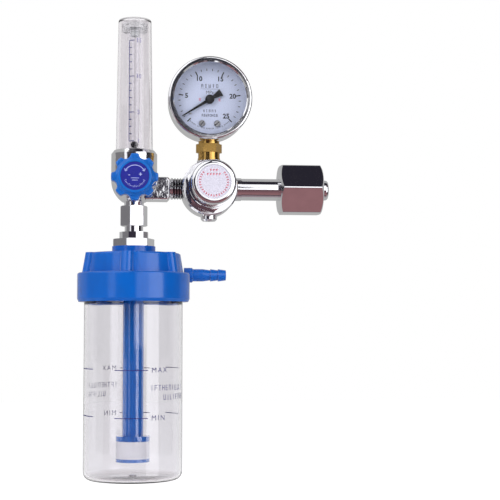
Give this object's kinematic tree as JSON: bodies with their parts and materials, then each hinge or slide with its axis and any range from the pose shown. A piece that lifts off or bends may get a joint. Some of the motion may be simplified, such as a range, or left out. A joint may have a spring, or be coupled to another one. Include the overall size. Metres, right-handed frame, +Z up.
{
  "type": "oxygen regulator with flowmeter",
  "caption": "Cylinder oxygen regulator with round pressure gauge, clear float flowmeter with blue knob, and a hanging clear humidifier bottle under a blue cap.",
  "frame": {"origin": "root of the inlet nose, on the inlet axis, where the union nut's collar ends", "axes": "+X out of the inlet towards the cylinder valve, +Z up along the flow tube, -Y is the front with dial and knob"},
  "size_m": [0.1669, 0.083, 0.3045],
  "materials": {
    "chrome": "bright chrome plate",
    "plated_brass": "chrome-plated turned brass",
    "brass": "bare turned brass",
    "bronze": "sintered bronze",
    "spring_steel": "drawn spring wire",
    "steel": "stainless steel",
    "rubber": "black nitrile rubber",
    "paper_label": "printed label",
    "dial_white": "printed aluminium dial",
    "pointer_black": "black painted metal",
    "window_clear": "clear window",
    "cover_clear": "clear polycarbonate",
    "bottle_clear": "clear moulded plastic",
    "stop_grey": "grey moulded plastic",
    "float_black": "black ball",
    "knob_blue": "blue moulded plastic",
    "disc_navy": "dark blue insert",
    "cap_blue": "blue moulded plastic",
    "tube_blue": "blue moulded plastic",
    "porous_white": "porous white sleeve"
  },
  "bodies": {
    "regulator": {"regulator_body": "chrome", "bonnet": "chrome", "bonnet_cap": "chrome", "cap_label": "paper_label", "diaphragm": "rubber", "diaphragm_plate": "brass", "main_spring": "spring_steel", "spring_button": "brass", "nozzle": "brass", "poppet_spring": "spring_steel", "rear_plug": "plated_brass", "relief_cap": "brass", "relief_spring": "spring_steel", "inlet_stem": "plated_brass", "inlet_filter": "bronze", "gauge_case": "chrome", "gauge_bezel": "chrome", "gauge_window": "window_clear", "window_gasket": "rubber", "gauge_dial": "dial_white", "dial_screws": "brass", "stop_pin": "brass", "bourdon_tube": "brass", "gauge_socket": "brass", "movement_frame": "brass", "tip_link": "brass", "flowmeter_body": "chrome", "gland_nut": "plated_brass", "packing": "rubber", "tube_cover": "cover_clear", "cover_oring": "rubber", "metering_tube": "cover_clear", "tube_seal": "rubber", "tube_holder": "cover_clear", "top_stop": "stop_grey", "ball_stop": "stop_grey"},
    "union_nut": {"union_nut": "chrome"},
    "poppet": {"poppet": "brass"},
    "relief_disc": {"relief_disc": "rubber"},
    "pointer": {"gauge_pointer": "pointer_black", "pinion_arbor": "brass"},
    "sector": {"sector_gear": "brass"},
    "knob": {"knob": "knob_blue", "knob_disc": "disc_navy", "spindle": "steel"},
    "float_ball": {"float_ball": "float_black"},
    "coupling_nut": {"coupling_nut": "chrome"},
    "humidifier": {"humidifier_stem": "plated_brass", "coupling_washer": "rubber", "clamp_nut": "chrome", "inner_washer": "rubber", "inner_nut": "plated_brass", "humidifier_cap": "cap_blue", "dip_tube": "tube_blue", "diffuser_top": "tube_blue", "diffuser_sleeve": "porous_white", "diffuser_base": "tube_blue"},
    "gasket": {"bottle_gasket": "rubber"},
    "bottle": {"bottle": "bottle_clear"}
  },
  "joints": [
    {"name": "union_nut_turn", "type": "hinge", "parent": "regulator", "child": "union_nut", "pos_m": [0, 0, 0], "axis": [1, 0, 0], "continuous": true},
    {"name": "poppet_slide", "type": "slide", "parent": "regulator", "child": "poppet", "axis": [0, 1, 0], "range_m": [0, 0.0006], "stiffness_N_per_m": 500, "deforming": ["poppet_spring"]},
    {"name": "relief_slide", "type": "slide", "parent": "regulator", "child": "relief_disc", "axis": [0, 0, -1], "range_m": [0, 0.001], "stiffness_N_per_m": 300, "deforming": ["relief_spring"]},
    {"name": "sector_turn", "type": "hinge", "parent": "regulator", "child": "sector", "pos_m": [-0.0683, 0, 0.04805], "axis": [0, -1, 0], "range_deg": [0, 32.1], "stiffness_Nm_per_rad": 0.032, "springref_deg": -2.15},
    {"name": "pointer_turn", "type": "hinge", "parent": "regulator", "child": "pointer", "pos_m": [-0.0683, 0, 0.0593], "axis": [0, 1, 0], "range_deg": [0, 257]},
    {"name": "knob_turn", "type": "hinge", "parent": "regulator", "child": "knob", "pos_m": [-0.118, 0, 0.005], "axis": [0, -1, 0], "range_deg": [0, 720]},
    {"name": "float_rise", "type": "slide", "parent": "regulator", "child": "float_ball", "axis": [0, 0, 1], "range_m": [0, 0.0703]},
    {"name": "coupling_nut_turn", "type": "hinge", "parent": "regulator", "child": "coupling_nut", "pos_m": [-0.118, 0, 0], "axis": [0, 0, 1], "continuous": true},
    {"name": "humidifier_swivel", "type": "hinge", "parent": "regulator", "child": "humidifier", "pos_m": [-0.118, 0, 0], "axis": [0, 0, 1], "continuous": true},
    {"name": "bottle_lower", "type": "slide", "parent": "humidifier", "child": "gasket", "axis": [0, 0, -1], "range_m": [0, 0.00601]},
    {"name": "bottle_unscrew", "type": "hinge", "parent": "gasket", "child": "bottle", "pos_m": [-0.118, 0, 0], "axis": [0, 0, -1], "range_deg": [0, 540]}
  ],
  "couplings": [
    {"joint": "pointer_turn", "follows": "sector_turn", "ratio": 8},
    {"joint": "bottle_lower", "follows": "bottle_unscrew", "m_per_rad": 0.00063662}
  ]
}
